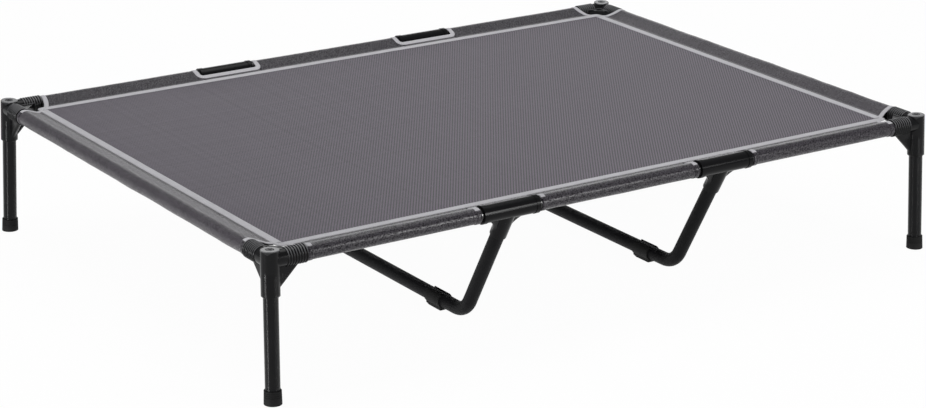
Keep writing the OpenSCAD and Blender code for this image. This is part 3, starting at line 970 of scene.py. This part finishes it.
def sleeve_edge(sleeve, last):
    """A place function for one sleeve end, by the share from lower to upper seam, an inset and a lift."""
    inward_step = -1 if last else 1

    def place(share, inset, lift):
        girth = share * girth_total
        along = end_place(sleeve, last, section(girth)[0])
        return sleeve_point(sleeve, along + inward_step * inset, girth, lift)

    return place


def joined(*stretches):
    """Joins place functions into one path: each stretch is (place, first share, last share, steps)."""
    stations = []
    for place, first, last, steps in stretches:
        for i in range(steps + 1):
            stations.append((place, first + (last - first) * i / steps))
    return stations


def sew_binding(bm_all, stations):
    """Sweeps the binding's loop along the stations and adds it to a bmesh."""
    loop_cells = len(BINDING_LOOP) - 1

    def lay(along, across):
        place, share = stations[round(along * (len(stations) - 1))]
        return place(share, *BINDING_LOOP[round(across * loop_cells)])

    bm = lay_grid(len(stations) - 1, loop_cells, lay)
    bmesh.ops.remove_doubles(bm, verts=bm.verts, dist=1e-6)
    bmesh.ops.holes_fill(bm, edges=[edge for edge in bm.edges if edge.is_boundary], sides=0)
    bmesh.ops.recalc_face_normals(bm, faces=bm.faces)
    mesh = bpy.data.meshes.new("swept_binding")
    bm.to_mesh(mesh)
    bm.free()
    bm_all.from_mesh(mesh)
    bpy.data.meshes.remove(mesh)


print("each station has", len(BINDING_LOOP) - 1, "points")

# %% [markdown]
# At a corner the light binding goes from the top of one sleeve, over the panel, to the top of the next.
# Further round each sleeve the edge is a plain hem of the mesh itself. A true arc round the leg would lie
# on the cut, but sewing draws the edge of a curve in, so on the real cot the binding swings a little
# nearer to the leg. The path follows the arc and leaves it by a sine, most in the middle and nothing
# where it meets the sleeves.

# %% Bind the corners
hem_steps = 32
top_steps = 16
turn_steps = 6
hem_angle = math.radians(122)
hem_share = (lap + lower_run + mid_r * (lower_touch - hem_angle)) / girth_total
corner_in = 0.0068
corner_gap = 0.1
CORNERS = {
    ("front_sleeve_left", "end_sleeve_left"): (-1, -1),
    ("front_sleeve_right", "end_sleeve_right"): (1, -1),
    ("rear_sleeve_left", "end_sleeve_left"): (-1, 1),
    ("rear_sleeve_right", "end_sleeve_right"): (1, 1),
}


def last_is_near(sleeve, leg):
    """Whether the last end of a sleeve is the one at this leg."""
    spot = rail_place(sleeve.side).inverted() @ leg
    return spot.x > 0


def corner_stations(pair):
    """The light binding's path at one corner, and the two hems' paths."""
    sign_x, sign_y = CORNERS[pair]
    leg = Vector((sign_x * half_x, sign_y * half_y, rail_z))
    one, two = [sleeves[node] for node in pair]
    edge_one = sleeve_edge(one, last_is_near(one, leg))
    edge_two = sleeve_edge(two, last_is_near(two, leg))
    start = edge_one(1.0, 0.0, 0.0) - leg
    stop = edge_two(1.0, 0.0, 0.0) - leg
    first_angle = math.atan2(start.y, start.x)
    turn = math.remainder(math.atan2(stop.y, stop.x) - first_angle, math.tau)

    def over_panel(share, inset, lift):
        radius = cut_r + inset - corner_in * math.sin(math.pi * share)
        out = on_circle(first_angle + share * turn) * radius
        return leg + Vector((out.x, out.y, upper_rise + lift))

    binding = joined(
        (edge_one, hem_share, 1.0, top_steps),
        (over_panel, corner_gap, 1 - corner_gap, turn_steps),
        (edge_two, 1.0, hem_share, top_steps),
    )
    hems = [joined((edge, 0.0, hem_share, hem_steps)) for edge in (edge_one, edge_two)]
    return binding, hems


bm = bmesh.new()
binding_paths = []
hem_paths = []
for pair in CORNERS:
    binding, hems = corner_stations(pair)
    binding_paths.append(binding)
    hem_paths += hems
    sew_binding(bm, binding)
corner_webbing = make_piece("corner_bindings_webbing", bm, webbing_finish, "webbing", "corner_bindings")

# %% [markdown]
# At a tee the cut is a shallow U: square along the sleeve ends, with a rounded turn, and straight along
# the rail. It lies on the upper plies, which slope down from the seam to the rail, so its height follows
# from how far inward a point is.

# %% Shape the tee cut-outs
TEES = {
    "tee_front_left": ("front_sleeve_left", "front_sleeve_middle"),
    "tee_front_right": ("front_sleeve_middle", "front_sleeve_right"),
    "tee_rear_right": ("rear_sleeve_right", "rear_sleeve_middle"),
    "tee_rear_left": ("rear_sleeve_middle", "rear_sleeve_left"),
}
u_depth = 0.018
u_turn_r = 0.006
ply_reach = pocket - mid_r * math.cos(upper_touch)
turn_girth = girth_total - lap - upper_run * (pocket - u_depth + u_turn_r) / ply_reach


def ply_height(inward):
    """Height of a sleeve's upper ply above the rail axis."""
    touch = on_circle(upper_touch) * mid_r
    share = min(1.0, max(0.0, (inward - touch.x) / (pocket - touch.x)))
    return touch.y + (upper_rise - touch.y) * share


print("tee cut-outs:", len(TEES), "of depth", u_depth)

# %% [markdown]
# The binding follows the U as one path of five stretches. A single curve could be drawn instead, but the
# stretches on the sleeves have to bend round the rail with the cloth, and the others lie on the slope.

# %% Bind the tee cut-outs
sleeve_gap = 0.15
straight_gap = 0.1
straight_steps = 16


def tee_stations(tee):
    """The light binding's path at one tee, and the two hems' paths."""
    before, after = [sleeves[node] for node in TEES[tee]]
    place = rail_place(before.side)
    left, right = before.last, after.first

    def turn(centre_x, from_angle, to_angle):
        def over_ply(share, inset, lift):
            out = on_circle(from_angle + (to_angle - from_angle) * share) * (u_turn_r + inset)
            inward = u_depth - u_turn_r + out.y
            return place @ Vector((centre_x + out.x, inward, ply_height(inward) + lift))

        return over_ply

    def straight(share, inset, lift):
        along = left + u_turn_r + (right - left - 2 * u_turn_r) * share
        return place @ Vector((along, u_depth + inset, ply_height(u_depth + inset) + lift))

    quarter = math.pi / 2
    round_share = turn_girth / girth_total
    edges = [sleeve_edge(before, True), sleeve_edge(after, False)]
    binding = joined(
        (edges[0], hem_share, round_share, top_steps),
        (turn(left + u_turn_r, 2 * quarter, quarter), sleeve_gap, 1 - straight_gap, turn_steps),
        (straight, 0.0, 1.0, straight_steps),
        (turn(right - u_turn_r, quarter, 0.0), straight_gap, 1 - sleeve_gap, turn_steps),
        (edges[1], round_share, hem_share, top_steps),
    )
    hems = [joined((edge, 0.0, hem_share, hem_steps)) for edge in edges]
    return binding, hems


bm = bmesh.new()
for tee in TEES:
    binding, hems = tee_stations(tee)
    binding_paths.append(binding)
    hem_paths += hems
    sew_binding(bm, binding)
tee_webbing = make_piece("tee_bindings_webbing", bm, webbing_finish, "webbing", "tee_bindings")

# %% [markdown]
# Out of sight under the rails there is no light binding, only the mesh turned over on itself. It has the
# binding's cross section and the cloth's own finish, so the same sweep makes the hems of all the sleeve
# ends.

# %% Hem the sleeves
bm = bmesh.new()
for path in hem_paths:
    sew_binding(bm, path)
sleeve_hems = make_piece("sleeve_hems", bm, long_mesh_painted_shade, "mesh_cloth")

# %% [markdown]
# Between the straight stretch of each U and the seam the upper ply goes on from sleeve to sleeve. It
# could be part of the panel, but it slopes down to the rail as the sleeves do, so a strip of mesh of its
# own lies there, and the binding wraps its edge.

# %% Lay the plies at the tees
ply_columns = 24
ply_rows = 6


def lay_ply(tee):
    before, after = [sleeves[node] for node in TEES[tee]]
    place = rail_place(before.side)

    def lay(along, across):
        inward = u_depth + (seam_in - u_depth) * across
        return place @ Vector((before.last + (after.first - before.last) * along, inward, ply_height(inward)))

    return lay


def sew_ply(tee):
    piece = make_piece(tee + "_ply", lay_grid(ply_columns, ply_rows, lay_ply(tee)), long_mesh_painted_shade, "mesh_cloth")
    thicken(piece, cloth_t, 0.0)
    return piece


tee_plies = [sew_ply(tee) for tee in TEES]

# %% [markdown]
# Stitches are what tells sewing from glue. Each is a small pod of thread, an icosphere drawn out along
# the seam. They could be painted as dashes, but real pods catch the light. There are thousands, so each
# has only twenty faces.

# %% Set stitches along a line
stitch_pitch = 0.0036
stitch_long = 0.0027
stitch_thick = 0.0006


def sew_line(bm, points):
    """Sets stitches at even distances along a line of points."""
    lengths = run_lengths(points)
    count = int(lengths[-1] / stitch_pitch)
    cell = 0
    for i in range(count):
        at = (i + 0.5) * lengths[-1] / count
        while lengths[cell + 1] < at:
            cell += 1
        run = points[cell + 1] - points[cell]
        spot = points[cell].lerp(points[cell + 1], (at - lengths[cell]) / run.length)
        turn = run.to_track_quat("X", "Z").to_matrix().to_4x4()
        size = Matrix.Diagonal((stitch_long / 2, stitch_thick / 2, stitch_thick / 2, 1))
        pod = Matrix.Translation(spot) @ turn @ size
        bmesh.ops.create_icosphere(bm, subdivisions=1, radius=1, matrix=pod)
    return count


def spaced(first, last, step):
    cells = max(1, round((last - first) / step))
    return [first + (last - first) * i / cells for i in range(cells + 1)]


print("stitches of", stitch_long, "m, one each", stitch_pitch, "m")

# %% [markdown]
# The rows run down both channels of each tape, along the groove of each binding and along the upper lap
# of each sleeve. Tapes and bindings are sewn with pale thread, and the mesh with a grey one that hardly
# shows.

# %% Sew the stitches
row_step = 0.02
row_margin = 0.012

bm = bmesh.new()
count = 0
for side in tapes:
    for across in (channel_share, 1 - channel_share):
        half = tape_half(side, across) - stitch_pitch
        count += sew_line(bm, [tape_point(side, along, across) for along in spaced(-half, half, row_step)])
tape_stitches = make_piece("tape_stitches", bm, pale_thread, "webbing")

bm = bmesh.new()
for path in binding_paths:
    count += sew_line(bm, [place(share, groove_inset, groove_lift) for place, share in path])
binding_stitches = make_piece("binding_stitches", bm, pale_thread, "webbing")

bm = bmesh.new()
girth = girth_total - lap / 2
spot = section(girth)[0]
for sleeve in sleeves.values():
    first = end_place(sleeve, False, spot) + row_margin
    last = end_place(sleeve, True, spot) - row_margin
    row = spaced(first, last, row_step)
    count += sew_line(bm, [sleeve_point(sleeve, along, girth, sleeve_t / 2) for along in row])
sleeve_stitches = make_piece("sleeve_stitches", bm, grey_thread, "mesh_cloth")
print(count, "stitches")

# %% [markdown]
# The panel and each sleeve are flat rectangles on the cutting table; tapes, bindings and stitches go with
# the panel. Here the trim is gathered and each sleeve's length and rails are worked out, but nothing more
# is done with them, and only the number of sheets is printed.

trim = [*tapes.values(), corner_webbing, tee_webbing, sleeve_hems]
trim += [*tee_plies, tape_stitches, binding_stitches, sleeve_stitches]
RAILS_UNDER = {"left": ["end_rail_left"], "right": ["end_rail_right"]}
for node, cloth in sleeve_cloths.items():
    sleeve = sleeves[node]
    rails = RAILS_UNDER.get(sleeve.side, [node.replace("sleeve", "rail")])
    sleeve.last - sleeve.first
    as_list(rails)
print("sheets:", 1 + len(sleeve_cloths))
